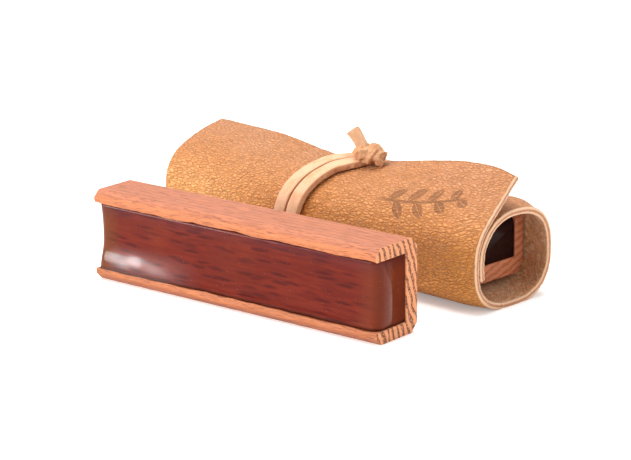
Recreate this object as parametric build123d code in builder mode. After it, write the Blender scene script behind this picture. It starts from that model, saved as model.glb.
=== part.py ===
"""Leather rosin roll: a leather wrap closed with a doubled lace, one rosin bar rolled up inside it
and a second rosin bar standing in front. Millimetres, +Z up, the roll along X, origin on the floor
under the middle of the whole set. The leather's outline at any place is worked out from the sizes
of the bar that it is rolled round, so it keeps clear of the bar when a size changes."""
from build123d import *
from math import atan2, cos, degrees, hypot, radians, sin
import os

# Rosin bar: a wooden trough with rosin cast into it, open at the front
bar_length = 100.0
bar_height = 26.0
bar_depth = 17.4
lip_wall = 3.7
back_wall = 4.9
front_bevel = 2.0
back_bevel = 2.5
rosin_recess = 0.8
rosin_dish = 0.7
rosin_end_gap = 0.5
rosin_end_round = 2.6

# Leather sheet and the roll that it makes
case_length = 120.0
leather = 1.9
lap_gap = 0.3
side_room = 1.5
top_room = 3.2
floor_flat = 0.5
inner_end_angle = -16.5
lap_start_angle = 25.0
lap_end_angle = 90.0
wrap_arcs = 13
flap_arcs = 5
outline_step_angle = 0.5
roll_squareness = 3.0
hinge_height = 11.0
hinge_slit = 0.3

# Mouths of the roll, past the ends of the stored bar: the right one curls in, and the left one
# stays wide, so the bar slides out that way
mouth_recess = 9.0
right_mouth_narrowing = 1.35
right_mouth_shift = -0.65
right_mouth_drop = 0.7
right_mouth_squareness = 2.5
left_mouth_widening = 0.4

# Waist, where the lace draws the roll in
tie_x = -5.0
tie_flat = 8.0
tie_reach = 25.0
tie_section_shares = (0.0, 0.4, 0.8)
waist_narrowing = 0.2
waist_rise = 0.2
waist_low_squareness = 4.5
waist_high_squareness = 2.8

# Free edge of the flap, which stands off the roll away from the lace
flare_right = 7.2
flare_left = 1.5
flare_reach_right = 60.0
flare_reach_left = 30.0
flare_start_angle = 30.0
flare_angle = 61.5
flare_power = 3
edge_angle_right = 91.5
edge_angle_left = 107.5

# Lace: two strands side by side round the waist
lace_width = 4.2
lace_thickness = 2.1
lace_pressed = 1.6
pressed_from = 0.4
pressed_fully = 0.9
lace_edge_round = 0.5
strand_gap = 0.35
lace_clearance = 0.3
lace_floor_gap = 0.1
lace_edge_gap = 1.4
lace_slit = 1.2
lace_mid_x = -3.3
lace_lean = 7.5
lace_lean_angle = 35.0
lace_swing = 3.0
lace_swing_angle = 60.0
lace_top_angle = 90.0
lace_step_angle = 6.0

# Knot and its tail
knot_x = 6.2
knot_angle = 87.0
knot_width = 10.4
knot_height = 6.2
knot_turn_radius = 2.1
knot_turn_thickness = 1.35
knot_turn_lean = 28.0
knot_turn_spacing = 3.4
tail_length = 5.1
tail_width = 4.0
tail_thickness = 2.0
tail_spread = 1.15
tail_lean = 53.0

# How the set is laid out
standing_gap = 17.7
bar_turn = 5.0
bar_shift = 6.9
stored_lift = 4.7

# Worked out from the sizes above
half_case = case_length / 2
stored_right = half_case - mouth_recess
stored_left = stored_right - bar_length
lap = leather + lap_gap
half_width = bar_height / 2 + side_room + 1.5 * leather + lap_gap / 2
roll_height = bar_depth + 2 * top_room + 2 * leather
waist_top = roll_height + waist_rise
waist_bottom = lace_floor_gap + lace_pressed + lace_clearance
turn = radians(bar_turn)
bar_reach = bar_length / 2 * sin(turn) + bar_depth / 2 * cos(turn)
lace_reach = lace_clearance + lace_thickness
set_depth = 2 * bar_reach + standing_gap + 2 * half_width + lace_reach
roll_y = set_depth / 2 - half_width - lace_reach
bar_y = bar_reach - set_depth / 2
stored_y = roll_y + lap / 2


def mix(first, second, share):
    return first + (second - first) * share


def smooth(share):
    share = min(max(share, 0.0), 1.0)
    return share * share * (3 - 2 * share)


class Form:
    """The rolled leather's outline at one place along the roll. Angles count in degrees from the
    front wall over the top, and go past 270 on the outer turn and the flap."""

    def __init__(self, x):
        waist = 1 - smooth((abs(x - tie_x) - tie_flat) / tie_reach)
        right_mouth = smooth((x - stored_right) / (half_case - stored_right))
        left_mouth = smooth((stored_left - x) / (stored_left + half_case))
        wider = left_mouth_widening * left_mouth
        narrower = waist_narrowing * waist + right_mouth_narrowing * right_mouth
        shift = waist_narrowing * waist + right_mouth_shift * right_mouth - wider
        bottom = mix(-floor_flat, waist_bottom, waist)
        top = mix(roll_height - right_mouth_drop * right_mouth, waist_top, waist)
        low = mix(roll_squareness, waist_low_squareness, waist)
        high = mix(roll_squareness, waist_high_squareness, waist)
        self.x = x
        self.half_width = half_width + wider - narrower
        self.half_height = (top - bottom) / 2
        self.y = roll_y + shift
        self.z = (top + bottom) / 2
        self.low = mix(low, right_mouth_squareness, right_mouth)
        self.high = mix(high, right_mouth_squareness, right_mouth)
        flare = flare_right if x > tie_x else flare_left
        reach = flare_reach_right if x > tie_x else flare_reach_left
        self.flare = flare * smooth(abs(x - tie_x) / reach)
        self.edge_angle = mix(edge_angle_left, edge_angle_right, (x + half_case) / case_length)

    def radius(self, angle):
        """Distance from the roll's middle to its plain outline, a rounded rectangle."""
        power = self.high if sin(radians(angle)) > 0 else self.low
        across = abs(cos(radians(angle))) / self.half_width
        up = abs(sin(radians(angle))) / self.half_height
        return (across**power + up**power) ** (-1 / power)

    def lift(self, angle):
        """How far the leather lies inside or outside that outline where it laps over itself."""
        lap_angle = lap_end_angle - lap_start_angle
        if angle < 270:
            return -lap * (1 - smooth((angle - lap_start_angle) / lap_angle))
        past = angle - 360
        flare = self.flare * max((past - flare_start_angle) / flare_angle, 0) ** flare_power
        return lap * smooth((past - lap_start_angle) / lap_angle) + flare

    def outer(self, angle):
        """A point of the leather's outer face, as (Y, Z)."""
        distance = self.radius(angle) + self.lift(angle)
        across = distance * cos(radians(angle))
        return Vector(self.y - across, self.z + distance * sin(radians(angle)))

    def normal(self, angle):
        """The outward direction at that point, as (Y, Z)."""
        along = self.outer(angle + outline_step_angle) - self.outer(angle - outline_step_angle)
        return Vector(-along.Y, along.X).normalized()

    def inner(self, angle):
        return self.outer(angle) - self.normal(angle) * leather

    def angle_at(self, height):
        """The angle at which the front wall's outer face reaches that height."""
        rise = height - self.z
        power = self.high if rise > 0 else self.low
        run = self.half_width * (1 - (abs(rise) / self.half_height) ** power) ** (1 / power)
        return degrees(atan2(rise, run))


def leather_section(form, first, last, arcs):
    """The cut face of the leather between two angles, of arcs outside and inside."""
    steps = 2 * arcs
    angles = [mix(first, last, step / steps) for step in range(steps + 1)]
    outside = [form.outer(angle) for angle in angles]
    inside = [form.inner(angle) for angle in reversed(angles)]
    with BuildSketch(Plane.YZ.offset(form.x)) as section:
        with BuildLine():
            for side in (outside, inside):
                for start in range(0, steps, 2):
                    ThreePointArc(*side[start : start + 3])
            Line(outside[-1], inside[0])
            Line(inside[-1], outside[0])
        make_face()
    return section.sketch


# Places along the roll where its section is drawn: mouths, bar ends and both sides of the waist
section_places = [-half_case, (stored_left - half_case) / 2, stored_left]
section_places += [tie_x - tie_flat - tie_reach * share for share in reversed(tie_section_shares)]
section_places += [tie_x + tie_flat + tie_reach * share for share in tie_section_shares]
section_places += [stored_right, (stored_right + half_case) / 2, half_case]
forms = [Form(x) for x in section_places]

# Leather wrap: from its inner end up the front, over, round the back and under to the hinge line
with BuildPart() as wrap:
    for form in forms:
        hinge_angle = form.angle_at(hinge_height - hinge_slit / 2)
        add(leather_section(form, inner_end_angle, 360 + hinge_angle, wrap_arcs))
    loft()
    split(bisect_by=Plane.XY, keep=Keep.TOP)

# Leather flap: the outer lap, from the hinge line up the front and over to its free edge
with BuildPart() as flap:
    for form in forms:
        hinge_angle = form.angle_at(hinge_height + hinge_slit / 2)
        add(leather_section(form, 360 + hinge_angle, 360 + form.edge_angle, flap_arcs))
    loft()


def lace_x(angle):
    """Where the middle of the doubled lace crosses that angle: a leaning loop that swings to
    the knot over the top."""
    lean = -lace_lean * cos(radians(angle + lace_lean_angle))
    reach = lace_top_angle - lace_swing_angle
    past = angle - 360 - lace_swing_angle
    return lace_mid_x + lean + lace_swing * smooth(past / reach)


def on_leather(x, angle, height):
    """A point that height above the leather's outer face."""
    form = Form(x)
    point = form.outer(angle) + form.normal(angle) * height
    return Vector(x, point.X, point.Y)


def strand_x(side, angle):
    """Where one strand crosses that angle, further from the middle where the lace runs slantwise."""
    middle = lace_x(angle)
    after = angle + outline_step_angle
    before = angle - outline_step_angle
    step = on_leather(middle, after, 0) - on_leather(middle, before, 0)
    slant = (lace_x(after) - lace_x(before)) / hypot(step.Y, step.Z)
    return middle + side * (lace_width + strand_gap) / 2 * hypot(1, slant)


def strand_section(side, angle):
    """The strand's rounded section, lying flat on the leather and square to its own run."""
    x = strand_x(side, angle)
    normal = Form(x).normal(angle)
    pressed = smooth((-normal.Y - pressed_from) / (pressed_fully - pressed_from))
    thickness = mix(lace_thickness, lace_pressed, pressed)
    middle = lace_clearance + thickness / 2
    after = angle + outline_step_angle
    before = angle - outline_step_angle
    ahead = on_leather(strand_x(side, after), after, middle)
    behind = on_leather(strand_x(side, before), before, middle)
    run = (ahead - behind).normalized()
    across = run.cross(Vector(0, normal.X, normal.Y)).normalized()
    place = Plane(on_leather(x, angle, middle), x_dir=across, z_dir=run)
    with BuildSketch(place) as section:
        RectangleRounded(lace_width, thickness, lace_edge_round)
    return section.sketch


def strand_sections(side, first, last):
    """Sections at even steps from one angle to the other."""
    count = round((last - first) / lace_step_angle)
    return [strand_section(side, mix(first, last, step / count)) for step in range(count + 1)]


hinge_line = 360 + Form(lace_x(360)).angle_at(hinge_height)
slit_angle = degrees(lace_slit / 2 / half_width)
free_edge = Form(tie_x).edge_angle
edge_clearance = degrees(lace_edge_gap / (waist_top / 2))

# Back of the lace: from the flap's free edge down the back and under the roll to the hinge line
with BuildPart() as lace_back:
    for side in (-1, 1):
        for section in strand_sections(side, free_edge + edge_clearance, hinge_line - slit_angle):
            add(section)
        loft()

# Knot: a core with two turns of lace wound over it, resting on the flap
turn_reach = knot_turn_radius + knot_turn_thickness
knot_middle = on_leather(knot_x, 360 + knot_angle, lace_clearance) + Vector(0, 0, turn_reach)
with BuildPart() as knot:
    with BuildSketch(Plane(knot_middle, x_dir=(1, 0, 0), z_dir=(0, -1, 0))):
        Ellipse(knot_width / 2, knot_height / 2)
        Rectangle(knot_width, knot_height, align=(Align.CENTER, Align.MAX), mode=Mode.SUBTRACT)
    revolve(axis=Axis(knot_middle, (1, 0, 0)))
    for side in (-1, 1):
        place = knot_middle + Vector(side * knot_turn_spacing / 2, 0, 0)
        with Locations(Location(place, (0, 90 + side * knot_turn_lean, 0))):
            Torus(knot_turn_radius, knot_turn_thickness)

# Tail: the lace's cut end, standing out of the knot and spreading a little
tail_way = Vector(-sin(radians(tail_lean)), 0, cos(radians(tail_lean)))
tail_across = Vector(tail_way.Z, 0, -tail_way.X)
with BuildPart() as tail:
    for share, spread in ((0, 1.0), (0.5, 1.0), (1, tail_spread)):
        place = knot_middle + tail_way * (share * (tail_length + knot_height / 2))
        with BuildSketch(Plane(place, x_dir=tail_across, z_dir=tail_way)):
            RectangleRounded(tail_width * spread, tail_thickness, lace_edge_round)
    loft()
    add(knot.part, mode=Mode.SUBTRACT)

# Front of the lace: from the hinge line up the flap and over the top, into the knot
with BuildPart() as lace_front:
    for side in (-1, 1):
        for section in strand_sections(side, hinge_line + slit_angle, 360 + lace_top_angle):
            add(section)
        loft()
    add(knot.part, mode=Mode.SUBTRACT)


def holder(plane):
    """The wooden trough: a bevelled block with a square channel cut in from its front, drawn at
    its left end and run along the bar."""
    channel = bar_depth - back_wall
    channel_height = bar_height - 2 * lip_wall
    with BuildPart() as trough:
        with BuildSketch(plane) as profile:
            Rectangle(bar_depth, bar_height)
            chamfer(profile.vertices().group_by(Axis.X)[0], front_bevel)
            chamfer(profile.vertices().group_by(Axis.X)[-1], back_bevel)
            with Locations((-bar_depth / 2, 0)):
                Rectangle(channel, channel_height, align=(Align.MIN, Align.CENTER), mode=Mode.SUBTRACT)
        extrude(amount=bar_length)
    return trough.part


def rosin(plane):
    """The cast rosin: it fills the channel, with a dished front and rounded front corners."""
    half_channel = bar_height / 2 - lip_wall
    back = bar_depth / 2 - back_wall
    front = rosin_recess - bar_depth / 2
    start = plane.offset(rosin_end_gap)
    with BuildPart() as cake:
        with BuildSketch(start):
            with BuildLine():
                top = Line((front, half_channel), (back, half_channel))
                bottom = Line((back, -half_channel), (front, -half_channel))
                Line(top @ 1, bottom @ 0)
                ThreePointArc(bottom @ 1, (front + rosin_dish, 0), top @ 0)
            make_face()
        extrude(amount=bar_length - 2 * rosin_end_gap)
        fillet(cake.edges().filter_by(GeomType.CIRCLE), rosin_end_round)
    return cake.part


# The standing bar faces the front, and the stored bar lies on its back with its front upwards
standing_way = Vector(cos(turn), sin(turn), 0)
standing_middle = Vector(bar_shift, bar_y, bar_height / 2)
standing = Plane(
    standing_middle - standing_way * bar_length / 2, x_dir=(-sin(turn), cos(turn), 0), z_dir=standing_way
)
stored = Plane(
    (stored_left, stored_y, stored_lift + bar_depth / 2), x_dir=(0, 0, -1), z_dir=(1, 0, 0)
)

pieces = {
    "leather_wrap": wrap.part,
    "leather_flap": flap.part,
    "lace_back": lace_back.part,
    "lace_front": lace_front.part,
    "lace_knot": knot.part,
    "lace_tail": tail.part,
    "stored_holder": holder(stored),
    "stored_rosin": rosin(stored),
    "standing_holder": holder(standing),
    "standing_rosin": rosin(standing),
}

os.makedirs("parts", exist_ok=True)
for name, piece in pieces.items():
    piece.label = name
    export_step(piece, f"parts/{name}.step")
    print(name, len(piece.solids()), "solids", round(piece.volume, 1), "mm3")
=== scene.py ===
"""Leather rosin roll: the looks of the leather, the lace and the two rosin bars. The roll's
outline is the same formula as in the part's source. Sizes are in millimetres and angles in
degrees, and meshes are written in metres."""

from math import cos, degrees, hypot, pi, radians, sin, sqrt

import bmesh
import bpy
from mathutils import Matrix, Vector, noise


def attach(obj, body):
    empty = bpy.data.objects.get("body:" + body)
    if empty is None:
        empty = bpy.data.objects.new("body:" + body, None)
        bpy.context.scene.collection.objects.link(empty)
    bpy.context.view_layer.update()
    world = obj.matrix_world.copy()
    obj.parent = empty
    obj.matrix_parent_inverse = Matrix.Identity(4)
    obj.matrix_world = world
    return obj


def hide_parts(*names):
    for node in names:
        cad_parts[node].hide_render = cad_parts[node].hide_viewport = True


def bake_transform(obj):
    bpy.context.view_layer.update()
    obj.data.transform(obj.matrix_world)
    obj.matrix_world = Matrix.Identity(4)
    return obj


bl_info = {
    "name": "Leather rosin roll",
    "version": (1, 0, 0),
    "blender": (4, 5, 0),
    "location": "3D View > Sidebar > Rosin roll",
    "description": "Builds the leather roll, its lace and its two rosin bars",
    "category": "Object",
}

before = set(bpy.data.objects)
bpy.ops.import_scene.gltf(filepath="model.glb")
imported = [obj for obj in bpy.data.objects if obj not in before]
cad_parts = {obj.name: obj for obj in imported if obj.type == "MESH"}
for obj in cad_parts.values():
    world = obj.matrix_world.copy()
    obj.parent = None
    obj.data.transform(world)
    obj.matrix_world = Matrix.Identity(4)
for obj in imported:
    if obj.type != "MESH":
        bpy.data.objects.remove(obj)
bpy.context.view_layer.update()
mm = 0.001

# Rosin bar
bar_length = 100.0
bar_height = 26.0
bar_depth = 17.4
lip_wall = 3.7
back_wall = 4.9
front_bevel = 2.0
back_bevel = 2.5
rosin_recess = 0.8
rosin_dish = 0.7
rosin_end_gap = 0.5
rosin_end_round = 2.6

# Leather
case_length = 120.0
leather = 1.9
lap_gap = 0.3
side_room = 1.5
top_room = 3.2
floor_flat = 0.5
inner_end_angle = -16.5
lap_start_angle = 25.0
lap_end_angle = 90.0
roll_squareness = 3.0
mouth_recess = 9.0
right_mouth_narrowing = 1.35
right_mouth_shift = -0.65
right_mouth_drop = 0.7
right_mouth_squareness = 2.5
left_mouth_widening = 0.4
tie_x = -5.0
tie_flat = 8.0
tie_reach = 25.0
waist_narrowing = 0.2
waist_rise = 0.2
waist_low_squareness = 4.5
waist_high_squareness = 2.8
flare_right = 7.2
flare_left = 1.5
flare_reach_right = 60.0
flare_reach_left = 30.0
flare_start_angle = 30.0
flare_angle = 61.5
flare_power = 3
edge_angle_right = 91.5
edge_angle_left = 107.5
seam_angle = 292.0
outline_step_angle = 0.5
swell_end_angle = 250.0
rim_round = 0.28
degree_run = 0.3

# Lace
lace_width = 4.2
lace_thickness = 2.1
lace_pressed = 1.6
pressed_from = 0.4
pressed_fully = 0.9
strand_gap = 0.35
lace_clearance = 0.3
lace_floor_gap = 0.1
lace_edge_gap = 1.4
lace_mid_x = -3.3
lace_lean = 7.5
lace_lean_angle = 35.0
lace_swing = 3.0
lace_swing_angle = 60.0
lace_top_angle = 90.0
strand_step_angle = 1.5
knot_x = 6.2
knot_angle = 87.0
knot_height = 6.2
knot_radius = 3.45
knot_sunk = 0.55
knot_right = 1.5
knot_forward = 1.2
tail_length = 4.8
tail_width = 3.5
tail_thickness = 2.0
tail_lean = 32.0
tail_foot = Vector((-1.6, 0, 0))

# Colours that no setting changes
# Painted light: brighter golden colour for the lit lower walls of the roll.
painted_foot_light_tan = (0.92, 0.38, 0.065)
dull_tan = (0.54, 0.195, 0.04)
# Painted sheen: pale colour for the front lamp's sheen on the left front.
painted_sheen_tan = (0.90, 0.47, 0.17)
# Painted shade: dark brown for the creases between the pebbles.
painted_crease_shade = (0.30, 0.09, 0.014)
# Painted shade: darker brown for the wrinkles' hollows.
painted_hollow_shade = (0.42, 0.14, 0.024)
# Painted highlight: lighter colour on the pebbles' tops.
painted_pebble_highlight = (0.78, 0.38, 0.14)
suede_light = (0.98, 0.62, 0.33)
suede_brown = (0.26, 0.11, 0.045)
suede_dark = (0.17, 0.09, 0.055)
edge_pale = (0.84, 0.55, 0.36)
edge_core = (0.46, 0.17, 0.075)
edge_rind = (0.56, 0.24, 0.08)
edge_grit = (0.92, 0.70, 0.52)
tail_face = (0.62, 0.375, 0.23)
lace_pore = (0.46, 0.25, 0.13)
lace_grit = (0.90, 0.70, 0.50)
lace_crease = (0.36, 0.18, 0.085)
wood_figure = (0.36, 0.135, 0.08)
wood_light = (0.66, 0.28, 0.13)
wood_end = (0.92, 0.38, 0.17)
wood_dark = (0.30, 0.10, 0.045)
# Painted shade: darker wood colour for the bar inside the roll.
painted_shade_stored_wood = (0.40, 0.115, 0.05)
rosin_streak = (0.175, 0.018, 0.007)
rosin_fleck = (0.06, 0.005, 0.004)
rosin_left_end = (0.14, 0.045, 0.012)
rosin_right_end = (0.17, 0.035, 0.012)
# Painted shade: darker purple for the rosin's top under the upper lip.
painted_rosin_shade = (0.09, 0.02, 0.025)
rosin_glow = (0.18, 0.03, 0.01)
rosin_bubble = (0.42, 0.20, 0.11)
rosin_foot = (0.05, 0.012, 0.006)
# Painted shade: near-black rosin for the bar inside the roll.
painted_shade_stored_rosin = (0.012, 0.006, 0.006)

# Unevenness: height, size of the bumps and seed
broad_swell = (0.10, 9.0, 3.1)
small_swell = (0.05, 3.0, 8.2)
mouth_fray = (0.14, 1.1, 5.5)
cut_fray = (0.16, 1.4, 2.4)
torn_fray = (0.5, 1.4, 2.4)
strap_wobble = (0.035, 4.0, 0)
strap_fray = (0.02, 1.3, 0)
strap_dents = (0.05, 1.8, 4)
hoop_crumple = (0.12, 1.6, 0)
lip_chips = (0.34, 5.5, 0)
lip_nicks = (0.16, 1.9, 2)
lip_waver = (0.22, 4.0, 5)
face_waver = (0.05, 7.0, 9)
rosin_waves = (0.10, 9.0, 0)
rosin_ripples = (0.22, 3.0, 3)
rosin_pools = (0.3, 6.0, 7)

# Layout
standing_gap = 17.7
bar_turn = radians(5.0)
bar_shift = 6.9
stored_lift = 4.7
half_case = case_length / 2
stored_right = half_case - mouth_recess
stored_left = stored_right - bar_length
lap = leather + lap_gap
half_width = bar_height / 2 + side_room + 1.5 * leather + lap_gap / 2
roll_height = bar_depth + 2 * top_room + 2 * leather
waist_top = roll_height + waist_rise
waist_bottom = lace_floor_gap + lace_pressed + lace_clearance
bar_reach = bar_length / 2 * sin(bar_turn) + bar_depth / 2 * cos(bar_turn)
lace_reach = lace_clearance + lace_thickness
set_depth = 2 * bar_reach + standing_gap + 2 * half_width + lace_reach
roll_y = set_depth / 2 - half_width - lace_reach
bar_y = bar_reach - set_depth / 2
stored_y = roll_y + lap / 2


def mix(first, second, share):
    return first + (second - first) * share


def smooth(share):
    share = min(max(share, 0.0), 1.0)
    return share * share * (3 - 2 * share)


def uneven(x, y, kind, seed=0.0):
    """One of the unevennesses at a place: soft noise of that height, both ways."""
    height, size, own_seed = kind
    return height * noise.noise(Vector((x / size, y / size, seed + own_seed)))


class Form:
    """The rolled leather's outline at one place along the roll. Angles count in degrees from the
    front wall over the top, and go past 270 on the outer turn and the flap."""

    def __init__(self, x):
        waist = 1 - smooth((abs(x - tie_x) - tie_flat) / tie_reach)
        right_mouth = smooth((x - stored_right) / (half_case - stored_right))
        left_mouth = smooth((stored_left - x) / (stored_left + half_case))
        wider = left_mouth_widening * left_mouth
        narrower = waist_narrowing * waist + right_mouth_narrowing * right_mouth
        shift = waist_narrowing * waist + right_mouth_shift * right_mouth - wider
        bottom = mix(-floor_flat, waist_bottom, waist)
        top = mix(roll_height - right_mouth_drop * right_mouth, waist_top, waist)
        low = mix(roll_squareness, waist_low_squareness, waist)
        high = mix(roll_squareness, waist_high_squareness, waist)
        self.x = x
        self.runs = {}
        self.half_width = half_width + wider - narrower
        self.half_height = (top - bottom) / 2
        self.y = roll_y + shift
        self.z = (top + bottom) / 2
        self.low = mix(low, right_mouth_squareness, right_mouth)
        self.high = mix(high, right_mouth_squareness, right_mouth)
        flare = flare_right if x > tie_x else flare_left
        reach = flare_reach_right if x > tie_x else flare_reach_left
        self.flare = flare * smooth(abs(x - tie_x) / reach)
        self.edge_angle = mix(edge_angle_left, edge_angle_right, (x + half_case) / case_length)

    def radius(self, angle):
        power = self.high if sin(radians(angle)) > 0 else self.low
        across = abs(cos(radians(angle))) / self.half_width
        up = abs(sin(radians(angle))) / self.half_height
        return (across**power + up**power) ** (-1 / power)

    def lift(self, angle):
        lap_angle = lap_end_angle - lap_start_angle
        if angle < 270:
            return -lap * (1 - smooth((angle - lap_start_angle) / lap_angle))
        past = angle - 360
        flare = self.flare * max((past - flare_start_angle) / flare_angle, 0) ** flare_power
        return lap * smooth((past - lap_start_angle) / lap_angle) + flare

    def outer(self, angle):
        distance = self.radius(angle) + self.lift(angle)
        turn = radians(angle)
        return Vector((self.y - distance * cos(turn), self.z + distance * sin(turn)))

    def normal(self, angle):
        along = self.outer(angle + outline_step_angle) - self.outer(angle - outline_step_angle)
        return Vector((-along.y, along.x)).normalized()

    def point(self, angle, height):
        """A point that height above the leather's outer face, in space."""
        flat = self.outer(angle) + self.normal(angle) * height
        return Vector((self.x, flat.x, flat.y))


# Shader maths


class Sock:
    """A shader value that can be used in Python expressions, each adding its Math node."""

    def __init__(self, tree, socket):
        self.tree = tree
        self.socket = socket

    def math(self, operation, *others):
        return self.tree.maths("ShaderNodeMath", operation, self, *others)

    def __add__(self, value):
        return self.math("ADD", value)

    def __sub__(self, value):
        return self.math("SUBTRACT", value)

    def __rsub__(self, value):
        return self.tree.maths("ShaderNodeMath", "SUBTRACT", value, self)

    def __mul__(self, value):
        return self.math("MULTIPLY", value)

    def __truediv__(self, value):
        return self.math("DIVIDE", value)

    __radd__ = __add__
    __rmul__ = __mul__

    def high(self, value):
        return self.math("MAXIMUM", value)

    def ramp(self, start, end):
        """0 at start and 1 at end, smooth between."""
        node = self.tree.nodes.new("ShaderNodeMapRange")
        node.interpolation_type = "SMOOTHSTEP"
        self.tree.plug(node.inputs["Value"], self)
        low, high, first, last = (start, end, 0.0, 1.0) if start < end else (end, start, 1.0, 0.0)
        node.inputs["From Min"].default_value = low
        node.inputs["From Max"].default_value = high
        node.inputs["To Min"].default_value = first
        node.inputs["To Max"].default_value = last
        return Sock(self.tree, node.outputs["Result"])


class Tree:
    """A shader's nodes under way, with one method for each thing that the looks need."""

    def __init__(self, tree):
        self.nodes = tree.nodes
        self.links = tree.links

    def plug(self, place, value):
        if isinstance(value, Sock):
            self.links.new(value.socket, place)
        elif place.type == "RGBA":
            place.default_value = (*value, 1.0)
        else:
            place.default_value = value

    def node(self, kind, out, settings=None, **values):
        made = self.nodes.new(kind)
        for name, value in (settings or {}).items():
            setattr(made, name, value)
        for name, value in values.items():
            self.plug(made.inputs[name.replace("_", " ")], value)
        return Sock(self, made.outputs[out])

    def attribute(self, name):
        return self.node("ShaderNodeAttribute", "Vector", {"attribute_name": name})

    def millimetres(self):
        """The place on the piece, in millimetres."""
        return self.scaled(self.node("ShaderNodeTexCoord", "Object"), (1000.0, 1000.0, 1000.0))

    def maths(self, kind, operation, *values):
        """A maths node of that kind, fed with values that are Socks or plain numbers."""
        made = self.nodes.new(kind)
        made.operation = operation
        for place, value in zip(made.inputs, values):
            self.plug(place, value)
        return Sock(self, made.outputs[0])

    def scaled(self, vector, scale):
        return self.maths("ShaderNodeVectorMath", "MULTIPLY", vector, scale)

    def shifted(self, vector, colour, amount):
        """A vector pushed about by a noise's colour."""
        kind = "ShaderNodeVectorMath"
        centred = self.maths(kind, "SUBTRACT", colour, (0.5, 0.5, 0.5))
        return self.maths(kind, "MULTIPLY_ADD", centred, (amount,) * 3, vector)

    def parts(self, vector):
        made = self.nodes.new("ShaderNodeSeparateXYZ")
        self.plug(made.inputs[0], vector)
        return [Sock(self, out) for out in made.outputs]

    def noise(self, vector, scale, detail, roughness=0.5, out="Fac", distortion=0.0):
        return self.node(
            "ShaderNodeTexNoise", out, Vector=vector, Scale=scale, Detail=detail,
            Roughness=roughness, Distortion=distortion,
        )

    def cells(self, vector, scale, feature="F1"):
        return self.node(
            "ShaderNodeTexVoronoi", "Distance", {"feature": feature}, Vector=vector, Scale=scale
        )

    def paint(self, colour, *coats):
        """A colour with coats over it, each another colour and how much of it covers the rest."""
        for over, share in coats:
            made = self.nodes.new("ShaderNodeMix")
            made.data_type = "RGBA"
            self.plug(made.inputs[0], share)
            self.plug(made.inputs[6], colour)
            self.plug(made.inputs[7], over)
            colour = Sock(self, made.outputs[2])
        return colour

    def seen(self):
        """1 for what the camera sees, straight or in a gloss, and 0 for light."""
        rays = self.nodes.new("ShaderNodeLightPath")
        straight = Sock(self, rays.outputs["Is Camera Ray"])
        return straight.high(Sock(self, rays.outputs["Is Glossy Ray"]))


class Look(Tree):
    """A material under way: what stays constant is set first, and what varies last."""

    def __init__(self, name, **constants):
        self.material = bpy.data.materials.new(name)
        self.material.use_nodes = True
        super().__init__(self.material.node_tree)
        self.shader = self.nodes["Principled BSDF"]
        for socket, value in constants.items():
            self.shader.inputs[socket.replace("_", " ")].default_value = value

    def finish(self, colour, roughness, height, depth, strength=1.0, coat=0.0):
        """Links what varies. Depth is how many millimetres a height of 1 stands for."""
        self.plug(self.shader.inputs["Base Color"], colour)
        self.plug(self.shader.inputs["Roughness"], roughness)
        self.plug(self.shader.inputs["Coat Weight"], coat)
        bump = self.node(
            "ShaderNodeBump", "Normal", Strength=strength, Distance=depth * mm, Height=height
        )
        self.plug(self.shader.inputs["Normal"], bump)
        return self.material


# Settings that a user would change


def colour_setting(name, description, default):
    return bpy.props.FloatVectorProperty(
        name=name, description=description, default=default, subtype="COLOR", min=0, max=1
    )


def number_setting(name, description, default, subtype="NONE"):
    return bpy.props.FloatProperty(
        name=name, description=description, default=default, subtype=subtype
    )


class RosinRollLeather(bpy.types.PropertyGroup):
    tan: colour_setting("Tan", "Colour of the grain side on the walls", (0.64, 0.24, 0.036))
    # Painted light: the crest's pinker grain colour stands in for the overhead lamp's sheen on the
    # top of the roll.
    painted_crest_light: colour_setting("Top", "Colour of the grain side on the crest", (0.54, 0.235, 0.10))
    flesh: colour_setting("Flesh side", "Colour of the suede inside", (0.82, 0.35, 0.12))
    burnt: colour_setting("Burnt mark", "Colour of the burned sprig", (0.25, 0.09, 0.022))
    grain_size: number_setting("Grain size", "Width of one pebble, in millimetres", 1.35)


class RosinRollLace(bpy.types.PropertyGroup):
    face: colour_setting("Face", "Colour of the lace's face", (0.68, 0.405, 0.25))
    side: colour_setting("Side", "Colour of the lace's cut sides", (0.56, 0.27, 0.135))
    knot: colour_setting("Knot", "Colour of the handled lace in the knot", (0.58, 0.31, 0.165))


class RosinRollBars(bpy.types.PropertyGroup):
    wood: colour_setting("Wood", "Colour of the trough's faces", (0.48, 0.165, 0.082))
    # Painted light: the lips' fronts get a brighter orange copy of the wood, for the light falling
    # on them.
    painted_light_lip: colour_setting("Lip", "Colour of the lips' fronts", (0.54, 0.165, 0.052))
    pore: colour_setting("Pores", "Colour of the wood's dark grain", (0.12, 0.028, 0.012))
    rosin: colour_setting("Rosin", "Colour of the rosin", (0.12, 0.011, 0.005))


class RosinRollStage(bpy.types.PropertyGroup):
    floor: colour_setting("Floor", "Colour of the floor", (0.93, 0.93, 0.93))
    key: number_setting("Overhead light", "Power of the large lamp overhead", 11.5, "POWER")
    fill: number_setting("Front light", "Power of the lamp at the front left", 6.2, "POWER")


# Leather


# Where the sprig's stem starts and ends along the roll, its height on the sheet and its bow
sprig_start = 23.0
sprig_end = 49.0
sprig_level = 34.5
sprig_bow = 6.0
leaf_lean = 52

# Each leaf's share of the stem, its side and its length
leaves = [
    (0.08, 1, 6.4),
    (0.18, -1, 6.8),
    (0.33, 1, 7.2),
    (0.43, -1, 6.6),
    (0.58, 1, 6.2),
    (0.68, -1, 5.8),
    (0.84, 1, 4.8),
    (0.93, -1, 4.2),
]


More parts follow.
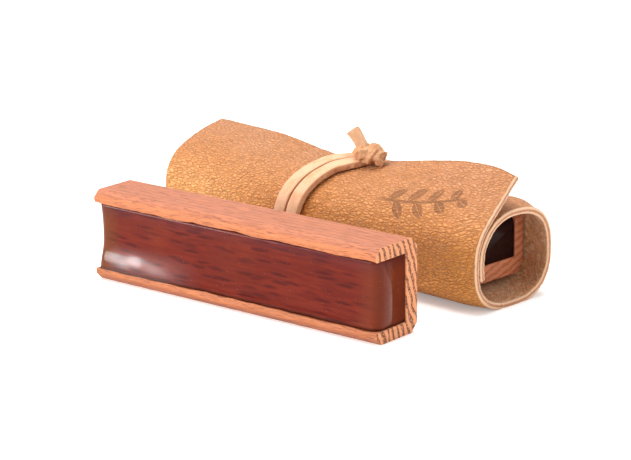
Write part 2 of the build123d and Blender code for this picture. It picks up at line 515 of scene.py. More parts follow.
def sprig_mark(across, along):
    """A plain burned sprig: one bent stem along the roll, with pointed leaves on both sides."""
    stem_length = sprig_end - sprig_start
    rise = (across - sprig_start) / stem_length
    stem = rise * rise * sprig_bow + sprig_level
    inside = rise.ramp(-0.02, 0.02) * rise.ramp(1.03, 0.98)
    mark = (along - stem).math("ABSOLUTE").ramp(0.5, 0.3) * inside
    for share, side, length in leaves:
        lean = radians(leaf_lean * side) + 2 * share * sprig_bow / stem_length
        run_x, run_y = cos(lean), sin(lean)
        middle_x = mix(sprig_start, sprig_end, share) + run_x * length * 0.5
        middle_y = sprig_level + sprig_bow * share**2 + run_y * length * 0.5
        ahead = ((across - middle_x) * run_x + (along - middle_y) * run_y) / (length / 2)
        aside = ((across - middle_x) * run_y - (along - middle_y) * run_x).math("ABSOLUTE")
        width = 1 - ahead * ahead
        leaf = (width * 1.5 - aside).ramp(-0.08, 0.12)
        vein = aside.ramp(0.08, 0.22)
        mark = mark.high(leaf * vein * width.ramp(0.0, 0.05))
    return mark


def grain_look(name, settings, burned):
    """Pebbled grain drawn out along the roll, with painted light and shade: pinker on the crest
    for the overhead light, more golden at the foot and paler at the left front for the front
    light, painted shade in the creases and hollows and painted highlights on the pebbles.
    """
    look = Look(name, Specular_IOR_Level=0.42)
    sheet = look.attribute("sheet")
    across, along, _ = look.parts(sheet)
    height = look.parts(look.millimetres())[2]
    bent = look.shifted(sheet, look.noise(sheet, 0.5, 2, out="Color"), 1.5)
    size = settings.grain_size
    pebble = look.scaled(bent, (0.78 / size, 1.95 / size, 0.0))
    crease = look.cells(pebble, 1.0, "DISTANCE_TO_EDGE").ramp(0.0, 0.2)
    dome = look.cells(pebble, 1.0).ramp(0.8, 0.1)
    wrinkle = look.noise(look.scaled(bent, (0.55 / size, 1.6 / size, 0.0)), 1.0, 2)
    fine = look.noise(look.scaled(sheet, (1.0, 1.7, 1.0)), 3.6, 3, 0.6)
    fold = look.noise(look.scaled(bent, (0.10, 0.35, 0.0)), 1.0, 3, 0.55)
    cloud = look.noise(sheet, 0.05, 3, 0.55)
    blotch = look.noise(sheet, 0.28, 3, 0.6)
    # Painted sheen: the left front of the roll is paled where the front lamp's sheen falls.
    left_front_sheen = across.ramp(-10.0, -50.0) * height.ramp(28.0, 18.0)
    tint = look.paint(
        settings.tan,
        # Painted light: pinker crest for the overhead lamp's sheen.
        (settings.painted_crest_light, height.ramp(14.0, 33.0)),
        # Painted light: brighter and more golden towards the foot.
        (painted_foot_light_tan, height.ramp(20.0, 6.0) * 0.68),
        (dull_tan, cloud.ramp(0.42, 0.68) * 0.4),
        (painted_sheen_tan, left_front_sheen * 0.4),
        # Painted shade in the creases between the pebbles.
        (painted_crease_shade, (1 - crease) * (0.3 + 0.55 * blotch)),
        # Painted shade in the wrinkles' hollows.
        (painted_hollow_shade, wrinkle.ramp(0.45, 0.3) * 0.4),
        # Painted highlights on the pebbles' tops.
        (painted_pebble_highlight, dome * wrinkle.ramp(0.48, 0.7) * 0.14),
    )
    relief = crease * 0.5 + dome * 0.6 + wrinkle * 0.5 + fold * 0.5 + fine * 0.06
    if burned:
        mark = sprig_mark(across, along) * (0.72 + 0.28 * fine.ramp(0.3, 0.55))
        tint = look.paint(tint, (settings.burnt, mark * 0.9))
        relief = relief - mark * 0.5
    return look.finish(tint, 0.44 + 0.16 * blotch, relief, depth=0.42)


def flesh_look(name, settings):
    """Brown-grey mottled suede with short fibres."""
    look = Look(name, Specular_IOR_Level=0.1, Sheen_Weight=0.25, Sheen_Roughness=0.6)
    sheet = look.attribute("sheet")
    bent = look.shifted(sheet, look.noise(sheet, 0.7, 2, out="Color"), 2.0)
    fibre = look.noise(look.scaled(bent, (1.0, 2.2, 1.0)), 1.4, 5, 0.7)
    clump = look.noise(bent, 0.7, 4, 0.7)
    speck = look.cells(bent, 1.3).ramp(0.08, 0.35)
    tint = look.paint(
        settings.flesh,
        (suede_light, clump.ramp(0.44, 0.62)),
        (suede_brown, fibre.ramp(0.52, 0.36) * 0.8),
        (suede_dark, (1 - speck) * clump.ramp(0.6, 0.4) * 0.6),
    )
    return look.finish(tint, 0.92, fibre * 0.8 + clump * 0.8, depth=0.6, strength=0.9)


def cut_look(name):
    """Pale cut edge with a reddish-brown line along its middle."""
    look = Look(name, Specular_IOR_Level=0.15)
    depth = look.parts(look.attribute("sheet"))[2]
    grit = look.noise(look.millimetres(), 2.4, 4, 0.7)
    waver = depth + (grit - 0.5) * 0.35
    tint = look.paint(
        edge_pale,
        (edge_core, (waver - 0.55).math("ABSOLUTE").ramp(0.30, 0.04) * 0.9),
        (edge_rind, depth.ramp(0.12, 0.0) * 0.7),
        (edge_grit, grit.ramp(0.56, 0.72) * 0.6),
    )
    return look.finish(tint, 0.85, grit, depth=0.35, strength=0.8)


def sheet_shell(cells_along, cells_round):
    """Two grids joined by a rim. Each vertex knows how far along, round and deep it lies."""
    bm = bmesh.new()
    place = bm.verts.layers.float_vector.new("sheet")
    bmesh.ops.create_grid(bm, x_segments=cells_along, y_segments=cells_round, size=0.5)
    for vert in bm.verts:
        vert[place] = Vector((vert.co.x + 0.5, vert.co.y + 0.5, 0.0))
    copied = bmesh.ops.duplicate(bm, geom=bm.faces[:])["geom"]
    inside = [item for item in copied if isinstance(item, bmesh.types.BMFace)]
    for vert in {vert for face in inside for vert in face.verts}:
        vert.co.z -= 0.02
        vert[place] = Vector((vert[place].x, vert[place].y, 1.0))
    bmesh.ops.reverse_faces(bm, faces=inside)
    for face in inside:
        face.material_index = 1
    bmesh.ops.bridge_loops(bm, edges=[edge for edge in bm.edges if edge.is_boundary])
    bmesh.ops.subdivide_edges(
        bm,
        edges=[edge for edge in bm.edges if abs(edge.verts[0].co.z - edge.verts[1].co.z) > 0.01],
        cuts=3,
        use_grid_fill=True,
    )
    return bm, place


def leather_sheet(name, first, last, cells_along, cells_round, looks, torn_first=False):
    """Leather between two angles, each a function of the form: outer face, inner face and rim."""
    bm, place = sheet_shell(cells_along, cells_round)
    forms = {}
    for vert in bm.verts:
        along, turned, depth = vert[place]
        if along not in forms:
            forms[along] = Form(mix(-half_case, half_case, along))
        form = forms[along]
        start = first(form)
        angle = mix(start, last(form), turned)
        height = -leather * depth
        if angle > 360 + flare_start_angle or angle < swell_end_angle:
            around = angle * degree_run
            height += uneven(form.x, around, broad_swell) + uneven(form.x, around, small_swell)
        point = form.point(angle, height)
        rounding = rim_round * (1 - (2 * abs(depth - 0.5)) ** 2) - rim_round
        if min(along, 1 - along) < 1e-4:
            ragged = uneven(angle * degree_run, depth * 3, mouth_fray) - mouth_fray[0]
            point.x += (1 if along > 0.5 else -1) * (rounding + ragged)
        if min(turned, 1 - turned) < 1e-4 and (turned > 0.5 or torn_first):
            ahead = 1 if turned > 0.5 else -1
            after = form.point(angle + outline_step_angle, height)
            run = (after - form.point(angle - outline_step_angle, height)).normalized()
            fray = cut_fray if turned > 0.5 else torn_fray
            ragged = uneven(form.x, depth * 3, fray)
            point += run * ahead * (rounding + ragged - fray[0] * 0.4)
        point.z = max(point.z, 0.0)
        vert.co = point * mm
        vert[place] = Vector((form.x, run_to(form, start, angle), depth))
    for face in bm.faces:
        depths = [vert[place].z for vert in face.verts]
        if max(depths) - min(depths) > 0.1 or 0.01 < max(depths) < 0.99:
            face.material_index = 2
        face.smooth = True
    bmesh.ops.recalc_face_normals(bm, faces=bm.faces)
    return made_object(bm, name, looks)


def path_length(points):
    return sum((after - before).length for before, after in zip(points, points[1:]))


def sheet_run(start, end):
    """The leather's length between two angles, in millimetres, along its middle."""
    form = Form(half_case / 2)
    steps = 60
    angles = [mix(start, end, step / steps) for step in range(steps + 1)]
    return path_length([form.point(angle, -leather / 2) for angle in angles])


def run_to(form, start, angle):
    """The leather's own length from its start to that angle, in millimetres."""
    key = round(angle, 4)
    if key not in form.runs:
        steps = 1 + round((angle - start) / 6)
        angles = [mix(start, angle, step / steps) for step in range(steps + 1)]
        form.runs[key] = path_length([form.outer(turned) for turned in angles])
    return form.runs[key]


def made_object(bm, name, looks):
    mesh = bpy.data.meshes.new(name)
    bm.to_mesh(mesh)
    bm.free()
    made = bpy.data.objects.new(name, mesh)
    bpy.context.collection.objects.link(made)
    for look in looks:
        mesh.materials.append(look)
    return made


class ROSIN_OT_leather(bpy.types.Operator):
    """Rolls the leather sheet: the wrap round the stored bar and the flap over it"""

    bl_idname = "rosin_roll.leather"
    bl_label = "Leather"

    def execute(self, context):
        settings = context.scene.rosin_roll_leather
        flesh = flesh_look("suede", settings)
        cut = cut_look("cut_edge")
        plain = grain_look("grain", settings, False)
        burned = grain_look("grain_with_sprig", settings, True)
        wrap = leather_sheet(
            "wrap_leather",
            lambda form: inner_end_angle,
            lambda form: seam_angle,
            150,
            130,
            (plain, flesh, cut),
            torn_first=True,
        )
        flap = leather_sheet(
            "flap_leather",
            lambda form: seam_angle,
            lambda form: 360 + form.edge_angle,
            170,
            90,
            (burned, flesh, cut),
        )
        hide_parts("leather_wrap")
        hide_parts("leather_flap")
        free_edge = 360 + (edge_angle_left + edge_angle_right) / 2
        for sheet, start, end in (
            (wrap, inner_end_angle, seam_angle),
            (flap, seam_angle, free_edge),
        ):
            length = sheet_run(start, end) * mm
        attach(wrap, "roll")
        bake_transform(flap)
        return {"FINISHED"}


# Lace


def lace_x(angle):
    """Where the middle of the doubled lace crosses that angle."""
    lean = -lace_lean * cos(radians(angle + lace_lean_angle))
    past = angle - 360 - lace_swing_angle
    return lace_mid_x + lean + lace_swing * smooth(past / (lace_top_angle - lace_swing_angle))


def strand_x(side, angle):
    middle = lace_x(angle)
    after = Form(middle).point(angle + outline_step_angle, 0)
    before = Form(middle).point(angle - outline_step_angle, 0)
    step = hypot(after.y - before.y, after.z - before.z)
    slant = (lace_x(angle + outline_step_angle) - lace_x(angle - outline_step_angle)) / step
    return middle + side * (lace_width + strand_gap) / 2 * hypot(1, slant)


def strap_frame(middle, run, up, width, thickness):
    """A place along a strap that faces up: middle, run, across, up, width and thickness."""
    across = run.cross(up).normalized()
    return middle, run, across, across.cross(run), width, thickness


def lace_frame(side, angle):
    """One strand's frame at an angle round the roll."""
    normal = Form(strand_x(side, angle)).normal(angle)
    pressed = smooth((-normal.y - pressed_from) / (pressed_fully - pressed_from))
    thickness = mix(lace_thickness, lace_pressed, pressed)
    middle = lace_clearance + thickness / 2
    points = [
        Form(strand_x(side, angle + step)).point(angle + step, middle)
        for step in (-outline_step_angle, 0, outline_step_angle)
    ]
    run = (points[2] - points[0]).normalized()
    return strap_frame(points[1], run, Vector((0, normal.x, normal.y)), lace_width, thickness)


def lace_profile(share, width, thickness):
    """A point of the flat lace's rounded section, from 0 to 1 round it."""
    turn = 2 * pi * share
    power = 2 / 5.5
    across = abs(cos(turn)) ** power * (1 if cos(turn) > 0 else -1)
    up = abs(sin(turn)) ** power * (1 if sin(turn) > 0 else -1)
    return across * width / 2, up * thickness / 2


def added_grid(bm, cells_along, cells_round):
    """The vertices of a new grid beside what the mesh already holds, and their attribute."""
    before = set(bm.verts)
    bmesh.ops.create_grid(bm, x_segments=cells_along, y_segments=cells_round, size=0.5)
    fresh = [vert for vert in bm.verts if vert not in before]
    return fresh, bm.verts.layers.float_vector["strap"]


def lace_strip(bm, frames, seed):
    """One flat strap through its frames, closed at both ends."""
    fresh, strap = added_grid(bm, len(frames) - 1, 28)
    lengths = [0.0]
    for one, two in zip(frames, frames[1:]):
        lengths.append(lengths[-1] + (two[0] - one[0]).length)
    for vert in fresh:
        station = round((vert.co.x + 0.5) * (len(frames) - 1))
        share = vert.co.y + 0.5
        middle, _, across, up, width, thickness = frames[station]
        place = lengths[station]
        # Each side of the strap wavers on its own
        side = 3.0 if abs(share - 0.5) < 0.25 else -3.0
        wobble = 1 + uneven(place, side, strap_wobble, seed)
        wobble += uneven(place, share, strap_fray, seed)
        aside, rise = lace_profile(share, width * wobble, thickness)
        rise += uneven(place, aside, strap_dents, seed)
        vert.co = (middle + across * aside + up * rise) * mm
        vert[strap] = Vector((place, aside, rise / thickness * 2))
    bmesh.ops.remove_doubles(bm, verts=fresh, dist=0.00001)
    loops = [edge for edge in bm.edges if edge.is_boundary]
    bmesh.ops.holes_fill(bm, edges=loops, sides=0)


def lace_look(name, face, side, worn):
    """Finely pored lace, pinkish-brown on its cut sides, with dark creases where it is worn."""
    look = Look(name, Specular_IOR_Level=0.2)
    aside = look.parts(look.attribute("strap"))[1]
    place = look.millimetres()
    pores = look.cells(place, 2.3).ramp(0.05, 0.4)
    grit = look.noise(place, 2.6, 4, 0.65)
    cloud = look.noise(place, 0.3, 3, 0.6)
    browner = (face[0] * 0.88, face[1] * 0.78, face[2] * 0.66)
    tint = look.paint(
        face,
        (browner, cloud.ramp(0.4, 0.7)),
        (side, aside.math("ABSOLUTE").ramp(1.72, 2.02) * (0.4 if worn else 0.75)),
        (lace_pore, (1 - pores) * 0.35),
        (lace_grit, grit.ramp(0.58, 0.75) * 0.3),
    )
    if worn:
        crease = look.noise(place, 0.85, 4, 0.62, distortion=1.2)
        tint = look.paint(tint, (lace_crease, crease.ramp(0.52, 0.36) * 0.55))
    return look.finish(tint, 0.72, grit * 0.5 + pores * 0.5, depth=0.14, strength=0.8)


def strand_frames(side, first, last):
    """One strand of the doubled lace, between two angles round the roll."""
    count = round((last - first) / strand_step_angle)
    return [lace_frame(side, mix(first, last, step / count)) for step in range(count + 1)]


def knot_middle():
    """The middle of the knot, which rests on the flap at its free edge."""
    rest = Form(knot_x).point(360 + knot_angle, lace_clearance)
    return rest + Vector((knot_right, -knot_forward, knot_radius - knot_sunk))


class ROSIN_OT_lace(bpy.types.Operator):
    """Runs the doubled lace round the roll"""

    bl_idname = "rosin_roll.lace"
    bl_label = "Lace"

    def execute(self, context):
        settings = context.scene.rosin_roll_lace
        look = lace_look("lace_leather", settings.face, settings.side, False)
        free_edge = Form(tie_x).edge_angle
        clearance = degrees(lace_edge_gap / (waist_top / 2))
        spans = {
            "lace_round_back": (free_edge + clearance, seam_angle),
            "lace_round_front": (seam_angle, 360 + lace_top_angle),
        }
        made = {}
        for name, (first, last) in spans.items():
            bm = bmesh.new()
            bm.verts.layers.float_vector.new("strap")
            for side in (-1, 1):
                frames = strand_frames(side, first, last)
                if name == "lace_round_front":
                    frames += strand_into_knot(side, frames[-1])
                lace_strip(bm, frames, 7.0 * side)
            bmesh.ops.recalc_face_normals(bm, faces=bm.faces)
            for face in bm.faces:
                face.smooth = True
            made[name] = made_object(bm, name, (look,))
        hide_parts("lace_back")
        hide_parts("lace_front")
        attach(made["lace_round_back"], "roll")
        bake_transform(made["lace_round_front"])
        return {"FINISHED"}


def strand_into_knot(side, last_frame):
    """Where a strand bends along the roll over the crest and ends inside the knot."""
    middle, run, _, up, width, thickness = last_frame
    target = knot_middle() + Vector((-3.3, -0.3, -0.4 + 0.5 * side))
    into_knot = Vector((0, -0.3, 1)).normalized()
    frames = []
    steps = 12
    leave = middle + run * 4.0
    for step in range(1, steps + 1):
        share = step / steps
        point = middle * (1 - share) ** 2 + leave * 2 * share * (1 - share) + target * share**2
        way = ((leave - middle) * (1 - share) + (target - leave) * share).normalized()
        lifted = (up * (1 - share) + into_knot * share).normalized()
        frames.append(strap_frame(point, way, lifted, width * mix(1, 0.68, share), thickness))
    return frames


# Each turn of the knot: shift, turns about X, Y and Z, radius, stretch, width and thickness
knot_hoops = (
    ((-1.9, 0.0, -0.3), (0.0, -22.0, 8.0), 1.6, 1.0, 3.0, 1.5),
    ((1.5, 0.1, 0.0), (0.0, 30.0, -14.0), 1.95, 1.0, 3.0, 1.5),
    ((-0.3, -0.3, 0.2), (8.0, 62.0, 10.0), 2.3, 0.85, 2.6, 1.4),
    ((3.4, 0.2, -0.5), (0.0, 8.0, 22.0), 1.35, 1.0, 2.2, 1.3),
    ((-0.4, 0.0, 0.0), (0.0, 90.0, 0.0), 1.4, 0.8, 3.4, 2.4),
)
knot_size = 1.12
knot_core = (5.4, 2.2, 2.1)
knot_voxel = 0.17
knot_crumples = ((0.22, 0.9), (0.13, 2.4))


def band(bm, middle, turn, radius, stretch, width, thickness, seed):
    """One closed turn of flat lace: a crumpled hoop in the plane that turn sets."""
    fresh, strap = added_grid(bm, 56, 20)
    for vert in fresh:
        angle = 2 * pi * (vert.co.x + 0.5)
        aside, rise = lace_profile(vert.co.y + 0.5, width, thickness)
        crumple = 1 + uneven(cos(angle) * 2, sin(angle) * 2, hoop_crumple, seed)
        out = radius * crumple + rise
        twisted = aside + 0.5 * sin(angle * 2 + seed)
        hoop = Vector((twisted, cos(angle) * out * stretch, sin(angle) * out))
        vert.co = (middle + turn @ hoop) * mm
        vert[strap] = Vector((angle * radius, aside, rise))
    bmesh.ops.remove_doubles(bm, verts=fresh, dist=0.00001)


class ROSIN_OT_knot(bpy.types.Operator):
    """Ties the knot and sets its tail"""

    bl_idname = "rosin_roll.knot"
    bl_label = "Knot and tail"

    def execute(self, context):
        settings = context.scene.rosin_roll_lace
        worn = lace_look("knotted_lace", settings.knot, settings.side, True)
        middle = knot_middle()
        bm = bmesh.new()
        bm.verts.layers.float_vector.new("strap")
        for number, (shift, turns, radius, stretch, width, thickness) in enumerate(knot_hoops):
            turn = Matrix.Rotation(radians(turns[2]), 3, "Z")
            turn = turn @ Matrix.Rotation(radians(turns[1]), 3, "Y")
            turn = turn @ Matrix.Rotation(radians(turns[0]), 3, "X")
            place = middle + Vector(shift) * knot_size
            sizes = radius * knot_size, stretch, width * knot_size, thickness * knot_size
            band(bm, place, turn, *sizes, 2.0 * number)
        core = Matrix.Diagonal([size * mm for size in knot_core] + [1.0])
        bmesh.ops.create_uvsphere(
            bm,
            u_segments=24,
            v_segments=16,
            radius=1.0,
            matrix=Matrix.Translation(middle * mm) @ core,
        )
        rough = made_object(bm, "knot_rough", ())
        shrink = rough.modifiers.new("skin", "REMESH")
        shrink.mode = "VOXEL"
        shrink.voxel_size = knot_voxel * mm
        shrink.use_smooth_shade = True
        soften = rough.modifiers.new("soften", "SMOOTH")
        soften.iterations = 3
        graph = bpy.context.evaluated_depsgraph_get()
        mesh = bpy.data.meshes.new_from_object(rough.evaluated_get(graph))
        bpy.data.objects.remove(rough)
        mesh.name = "knot"
        floor = (middle.z - knot_radius + 0.05) * mm
        for vert in mesh.vertices:
            spot = vert.co / mm
            crumple = sum(height * noise.noise(spot * pace) for height, pace in knot_crumples)
            vert.co += vert.normal * crumple * mm
            vert.co.z = max(vert.co.z, floor)
        for polygon in mesh.polygons:
            polygon.use_smooth = True
        mesh.materials.append(worn)
        knot = bpy.data.objects.new("knot", mesh)
        bpy.context.collection.objects.link(knot)
        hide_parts("lace_knot")
        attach(knot, "flap")
        self.tail(middle, settings)
        return {"FINISHED"}

    def tail(self, middle, settings):
        look = lace_look("tail_lace", tail_face, settings.side, False)
        bm = bmesh.new()
        bm.verts.layers.float_vector.new("strap")
        frames = []
        steps = 40
        up = Vector((0.25, -1, 0.1)).normalized()
        reach = tail_length + knot_height / 2 - 0.3
        for step in range(steps + 1):
            share = step / steps
            lean = radians(tail_lean - 7 + 14 * share)
            way = Vector((-sin(lean), 0.03, cos(lean))).normalized()
            point = middle + tail_foot + Vector((-sin(lean), 0, cos(lean))) * share * reach
            width = tail_width * (1.0 + 0.13 * share**2 - 0.1 * (1 - share))
            frames.append(strap_frame(point, way, up, width, tail_thickness))
        lace_strip(bm, frames, 3.3)
        bmesh.ops.recalc_face_normals(bm, faces=bm.faces)
        for face in bm.faces:
            face.smooth = len(face.verts) < 5
        tail = made_object(bm, "tail", (look,))
        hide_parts("lace_tail")
        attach(tail, "flap")


# Rosin bars


def bar_profile():
    """Corners of the trough's section, as depth from the middle and height."""
    deep = bar_depth / 2
    high = bar_height / 2
    channel = high - lip_wall
    upper = [
        (deep - back_wall, channel),
        (-deep, channel),
        (-deep, high - front_bevel),
        (-deep + front_bevel, high),
        (deep - back_bevel, high),
        (deep, high - back_bevel),
    ]
    return upper + [(depth, -height) for depth, height in reversed(upper)]


def run_along(bm, profile, start, length):
    """A closed profile drawn at one end and run along the bar."""
    face = bm.faces.new([bm.verts.new((start, depth, height)) for depth, height in profile])
    run = bmesh.ops.extrude_face_region(bm, geom=[face])["geom"]
    moved = [item for item in run if isinstance(item, bmesh.types.BMVert)]
    bmesh.ops.translate(bm, verts=moved, vec=(length, 0, 0))
    bmesh.ops.recalc_face_normals(bm, faces=bm.faces)


def cut_at(bm, stations):
    for station in stations:
        bmesh.ops.bisect_plane(
            bm,
            geom=bm.verts[:] + bm.edges[:] + bm.faces[:],
            plane_co=(station, 0, 0),
            plane_no=(1, 0, 0),
            dist=0.00001,
        )


def placed(bm, plane):
    """Writes the bar's own coordinates as an attribute and sets it in its place, in metres."""
    layer = bm.verts.layers.float_vector.new("bar")
    origin, depth_way, height_way, length_way = plane
    for vert in bm.verts:
        length, depth, height = vert.co
        vert[layer] = Vector((length, depth, height))
        vert.co = (origin + length_way * length + depth_way * depth + height_way * height) * mm
    bmesh.ops.recalc_face_normals(bm, faces=bm.faces)


def holder_mesh(name, plane, seed, look):
    bm = bmesh.new()
    run_along(bm, bar_profile(), 0.0, bar_length)
    bmesh.ops.bevel(
        bm,
        geom=[edge for edge in bm.edges if edge.calc_face_angle(0) > 0.3],
        offset=0.32,
        segments=2,
        profile=0.5,
        affect="EDGES",
        material=-1,
        offset_type="OFFSET",
        clamp_overlap=True,
    )
    cut_at(bm, range(1, int(bar_length)))
    channel = bar_height / 2 - lip_wall
    for vert in bm.verts:
        length, depth, height = vert.co
        near_lip = smooth((-depth - bar_depth / 2 + 2.2) / 1.6)
        near_lip *= smooth(channel + 1.2 - abs(height))
        ragged = uneven(length, height, lip_chips, seed) + uneven(length, height, lip_nicks, seed)
        outwards = 1 if height > 0 else -1
        vert.co.z += outwards * near_lip * (0.12 + ragged)
        vert.co.y += near_lip * (0.10 + uneven(length, height, lip_waver, seed))
        if abs(height) <= bar_height / 2 - 0.2:
            vert.co.z += uneven(length, depth, face_waver, seed)
    placed(bm, plane)
    return made_object(bm, name, (look,))


def rosin_mesh(name, plane, seed, look):
    half = bar_height / 2 - lip_wall
    back = bar_depth / 2 - back_wall
    front = rosin_recess - bar_depth / 2
    heights = [mix(-half, half, step / 16) for step in range(17)]
    face = [(front + rosin_dish * (1 - (height / half) ** 2), height) for height in heights]
    bm = bmesh.new()
    start = rosin_end_gap
    length = bar_length - 2 * rosin_end_gap
    run_along(bm, face + [(back, half), (back, -half)], start, length)
    ends = [start + step for step in (0.08, 0.2, 0.4, 0.7, 1.1, 1.6, 2.1)]
    ends += [start + length - (place - start) for place in ends]
    cut_at(bm, ends + [start + rosin_end_round + 1.25 * step for step in range(76)])
    for vert in bm.verts:
        place, depth, height = vert.co
        if depth > front + rosin_dish + 0.4:
            continue
        inset = rosin_end_round - min(place - start, start + length - place)
        if inset > 0:
            depth += rosin_end_round - sqrt(max(rosin_end_round**2 - inset**2, 0))
        # The foot swells out most at the left end and ripples where it is thin
        edge = smooth((1.6 - half - height) / 1.6) * smooth((place - 25) / 20)
        reach = mix(8.0, 2.6, smooth((place - 12) / 36))
        foot = smooth((reach - half - height) / reach)
        swell = mix(0.95, 0.12, smooth((place - 12) / 30))
        depth += uneven(place, height, rosin_waves, seed)
        depth += edge * (uneven(place, height, rosin_ripples, seed) - 0.15)
        depth -= foot * swell * (1 + uneven(place, height, rosin_pools, seed))
        vert.co.y = depth
    for face in bm.faces:
        face.smooth = True
    placed(bm, plane)
    return made_object(bm, name, (look,))


def warped(look, bar, scale, amount):
    """The bar's coordinates, pushed about by a slow noise."""
    colour = look.noise(look.scaled(bar, scale), 1.0, 3, out="Color")
    return look.shifted(bar, colour, amount)


def wood_look(name, settings, stored):
    """Straight-grained reddish wood with slanted pore lines that show dark on the ends, painted
    light on the lips' fronts, and a darker copy for the stored bar as painted shade.
    """
    look = Look(name, Specular_IOR_Level=0.35)
    bar = look.attribute("bar")
    length, depth, _ = look.parts(bar)
    warp = warped(look, bar, (0.05, 0.2, 0.2), 3.2)
    _, deep, high = look.parts(warp)
    ring = (deep * 0.94 + high * 0.34) / 2.0
    line = (ring * 2 * pi).math("SINE") * 0.5 + 0.5
    fibre = look.noise(look.scaled(bar, (0.10, 2.4, 2.4)), 1.0, 4, 0.62)
    pore = look.noise(look.scaled(bar, (0.32, 5.5, 5.5)), 1.0, 2)
    figure = look.noise(look.scaled(warp, (0.16, 0.9, 0.9)), 1.0, 3, 0.6)
    broken = look.noise(look.scaled(bar, (0.22, 2.6, 1.9)), 1.0, 3, 0.6).ramp(0.38, 0.5)
    front = depth.ramp(1.5 - bar_depth / 2, -0.25 - bar_depth / 2)
    end = length.ramp(0.5, 0.05).high(length.ramp(bar_length - 0.5, bar_length - 0.05))
    tint = look.paint(
        settings.wood,
        (wood_figure, figure.ramp(0.4, 0.65) * 0.55),
        # Painted light on the lips' fronts.
        (settings.painted_light_lip, front * 0.85),
        (wood_light, fibre.ramp(0.56, 0.75) * 0.35),
        (wood_end, end * 0.85),
        (settings.pore, line.ramp(0.4, 0.8) * broken * (0.2 + 0.75 * end)),
        (settings.pore, pore.ramp(0.56, 0.66) * (0.6 + 0.2 * end)),
        (wood_dark, fibre.ramp(0.46, 0.3) * 0.5),
    )
    # Painted shade: the bar inside the roll gets a darker copy of the wood.
    if stored:
        tint = look.paint(tint, (painted_shade_stored_wood, 0.72))
    relief = fibre * 0.5 - pore.ramp(0.6, 0.74) * 0.8 - line.ramp(0.7, 1.0) * 0.3
    return look.finish(tint, 0.5 + 0.2 * fibre, relief, depth=0.16, strength=0.75)


def rosin_look(name, settings, stored):
    """Glossy dark amber over figured wood, with flecks, bubbles and a wet shine at its foot,
    painted shade towards the upper lip, and painted shade that turns the stored bar's rosin nearly
    black.
    """
    look = Look(name, Specular_IOR_Level=0.05 if stored else 0.09, Coat_Roughness=0.24)
    bar = look.attribute("bar")
    length, _, height = look.parts(bar)
    warp = warped(look, bar, (0.06, 0.15, 0.15), 2.2)
    fleck = look.cells(look.scaled(warp, (0.115, 0.0, 0.8)), 1.0).ramp(0.2, 0.5)
    streak = look.noise(look.scaled(warp, (0.07, 0.8, 0.9)), 1.0, 3, 0.55)
    cloud = look.noise(bar, 0.06, 3)
    bubble = look.cells(bar, 0.75).ramp(0.085, 0.05)
    tint = look.paint(
        settings.rosin,
        (rosin_streak, streak.ramp(0.4, 0.68) * 0.7),
        (rosin_fleck, (1 - fleck) * 0.75),
        (rosin_left_end, length.ramp(10.0, 2.0) * 0.7),
        (rosin_right_end, length.ramp(90.0, 99.0) * 0.6),
        # Painted shade towards the upper lip.
        (painted_rosin_shade, height.ramp(5.0, 8.8) * 0.4),
        (rosin_glow, cloud.ramp(0.56, 0.75) * 0.3),
        (rosin_bubble, bubble * 0.5),
        (rosin_foot, height.ramp(-8.2, -9.2) * 0.8),
    )
    wet = height.ramp(-0.5, -5.0) * length.ramp(40.0, 22.0) * length.ramp(2.0, 9.0)
    # Painted shade: the rosin inside the roll is painted nearly black.
    if stored:
        tint = look.paint(tint, (painted_shade_stored_rosin, 0.95))
    rough = 0.09 + 0.16 * cloud.ramp(0.5, 0.75)
    relief = look.noise(bar, 0.12, 1, 0.4) + bubble * 0.06
    shine = wet * (0.0 if stored else 0.65)
    return look.finish(tint, rough, relief, depth=0.5, strength=0.25, coat=shine)


def bar_planes():
    """Origin and the depth, height and length directions of each bar."""
    way = Vector((cos(bar_turn), sin(bar_turn), 0))
    standing = Vector((bar_shift, bar_y, bar_height / 2)) - way * bar_length / 2
    stored = Vector((stored_left, stored_y, stored_lift + bar_depth / 2))
    return {
        "standing": (standing, Vector((-way.y, way.x, 0)), Vector((0, 0, 1)), way),
        "stored": (stored, Vector((0, 0, -1)), Vector((0, 1, 0)), Vector((1, 0, 0))),
    }


class ROSIN_OT_bars(bpy.types.Operator):
    """Makes the two wooden troughs and the rosin in them"""

    bl_idname = "rosin_roll.bars"
    bl_label = "Rosin bars"

    def execute(self, context):
        settings = context.scene.rosin_roll_bars
        for number, (kind, plane) in enumerate(bar_planes().items()):
            stored = kind == "stored"
            wood = wood_look(kind + "_wood", settings, stored)
            resin = rosin_look(kind + "_resin", settings, stored)
            holder = holder_mesh(kind + "_trough", plane, 1.7 + 11 * number, wood)
            cake = rosin_mesh(kind + "_cake", plane, 4.1 + 11 * number, resin)
            for piece, node, slot in ((holder, "holder", "holder_wood"), (cake, "rosin", "rosin")):
                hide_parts(f"{kind}_{node}")
                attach(piece, f"{kind}_bar")
        return {"FINISHED"}


# Stage


# Strength of the floor's own glow, and of the white surround where it only lights
floor_glow = 0.3
surround = 0.34


def area_light(name, place, target, size, power):
    lamp = bpy.data.lights.new(name, "AREA")
    lamp.shape = "RECTANGLE"
    lamp.size, lamp.size_y = size
    lamp.energy = power
    made = bpy.data.objects.new(name, lamp)
    bpy.context.collection.objects.link(made)
    made.location = place
    made.rotation_euler = (Vector(target) - Vector(place)).to_track_quat("-Z", "Y").to_euler()


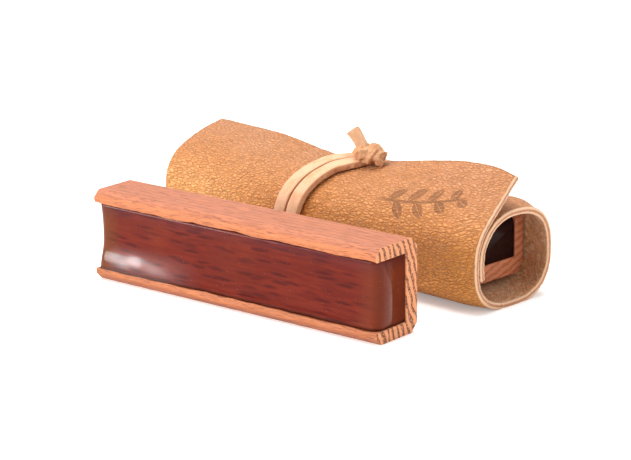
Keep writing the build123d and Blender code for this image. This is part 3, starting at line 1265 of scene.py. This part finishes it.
class ROSIN_OT_stage(bpy.types.Operator):
    """Lays the floor and sets the lamps and the camera"""

    bl_idname = "rosin_roll.stage"
    bl_label = "Floor, lamps and camera"

    def execute(self, context):
        settings = context.scene.rosin_roll_stage
        self.floor(settings)
        self.world()
        middle = (0.0, 0.0, 0.015)
        bar_foot = (-0.03, -0.03, 0.01)
        key, fill = settings.key, settings.fill
        area_light("overhead", (-0.12, 0.05, 0.95), middle, (0.75, 0.6), key)
        area_light("front_left", (-0.35, -0.85, 0.42), middle, (0.7, 0.6), fill)
        area_light("right", (0.85, 0.10, 0.45), middle, (0.6, 0.6), fill * 0.5)
        area_light("window", (-0.66, -0.74, 0.20), bar_foot, (0.3, 0.22), fill * 0.8)
        self.camera()
        context.scene.view_settings.view_transform = "Standard"
        return {"FINISHED"}

    def floor(self, settings):
        bm = bmesh.new()
        bmesh.ops.create_grid(bm, x_segments=1, y_segments=1, size=4.0)
        look = Look("floor", Roughness=0.9, Specular_IOR_Level=0.1)
        varied = look.shader.inputs
        look.plug(varied["Base Color"], settings.floor)
        look.plug(varied["Emission Color"], (1, 1, 1))
        look.plug(varied["Emission Strength"], look.seen() * floor_glow)
        ground = made_object(bm, "floor", (look.material,))

    def world(self):
        world = bpy.data.worlds.new("studio")
        bpy.context.scene.world = world
        world.use_nodes = True
        tree = Tree(world.node_tree)
        background = tree.nodes["Background"].inputs
        tree.plug(background["Color"], (1, 1, 1))
        tree.plug(background["Strength"], surround + (1 - surround) * tree.seen())

    def camera(self):
        """The photograph's own viewpoint, fitted to the standing bar's corners."""
        yaw, pitch, roll = 0.7733, 0.272, -0.009
        ahead = Vector((-sin(yaw) * cos(pitch), cos(yaw) * cos(pitch), -sin(pitch)))
        right = Vector((cos(yaw), sin(yaw), 0))
        up = right.cross(ahead)
        turned = right * cos(roll) + up * sin(roll)
        upright = up * cos(roll) - right * sin(roll)
        view = bpy.data.cameras.new("camera")
        view.sensor_width = 36.0
        view.lens = 142.95
        view.clip_start = 0.01
        made = bpy.data.objects.new("camera", view)
        bpy.context.collection.objects.link(made)
        place = Matrix((turned, upright, -ahead)).transposed().to_4x4()
        place.translation = Vector((0.4741, -0.4809, 0.2023))
        made.matrix_world = place
        bpy.context.scene.camera = made


class ROSIN_PT_panel(bpy.types.Panel):
    """Lists the settings and the steps that build the rosin roll"""

    bl_idname = "ROSIN_PT_panel"
    bl_label = "Rosin roll"
    bl_space_type = "VIEW_3D"
    bl_region_type = "UI"
    bl_category = "Rosin roll"

    def draw(self, context):
        steps = (
            (
                ROSIN_OT_leather,
                "rosin_roll_leather",
                ("tan", "painted_crest_light", "flesh", "burnt", "grain_size"),
            ),
            (ROSIN_OT_lace, "rosin_roll_lace", ("face", "side", "knot")),
            (ROSIN_OT_knot, None, ()),
            (ROSIN_OT_bars, "rosin_roll_bars", ("wood", "painted_light_lip", "pore", "rosin")),
            (ROSIN_OT_stage, "rosin_roll_stage", ("floor", "key", "fill")),
        )
        for operator, group, names in steps:
            box = self.layout.box()
            for name in names:
                box.prop(getattr(context.scene, group), name)
            box.operator(operator.bl_idname)


groups = {
    "rosin_roll_leather": RosinRollLeather,
    "rosin_roll_lace": RosinRollLace,
    "rosin_roll_bars": RosinRollBars,
    "rosin_roll_stage": RosinRollStage,
}
operators = (ROSIN_OT_leather, ROSIN_OT_lace, ROSIN_OT_knot, ROSIN_OT_bars, ROSIN_OT_stage)


def register():
    for name, group in groups.items():
        bpy.utils.register_class(group)
        setattr(bpy.types.Scene, name, bpy.props.PointerProperty(type=group))
    for operator in operators:
        bpy.utils.register_class(operator)
    bpy.utils.register_class(ROSIN_PT_panel)


def unregister():
    bpy.utils.unregister_class(ROSIN_PT_panel)
    for operator in reversed(operators):
        bpy.utils.unregister_class(operator)
    for name, group in groups.items():
        delattr(bpy.types.Scene, name)
        bpy.utils.unregister_class(group)


def main():
    register()
    bpy.ops.rosin_roll.leather()
    bpy.ops.rosin_roll.lace()
    bpy.ops.rosin_roll.knot()
    bpy.ops.rosin_roll.bars()
    bpy.ops.rosin_roll.stage()


if __name__ == "__main__":
    main()
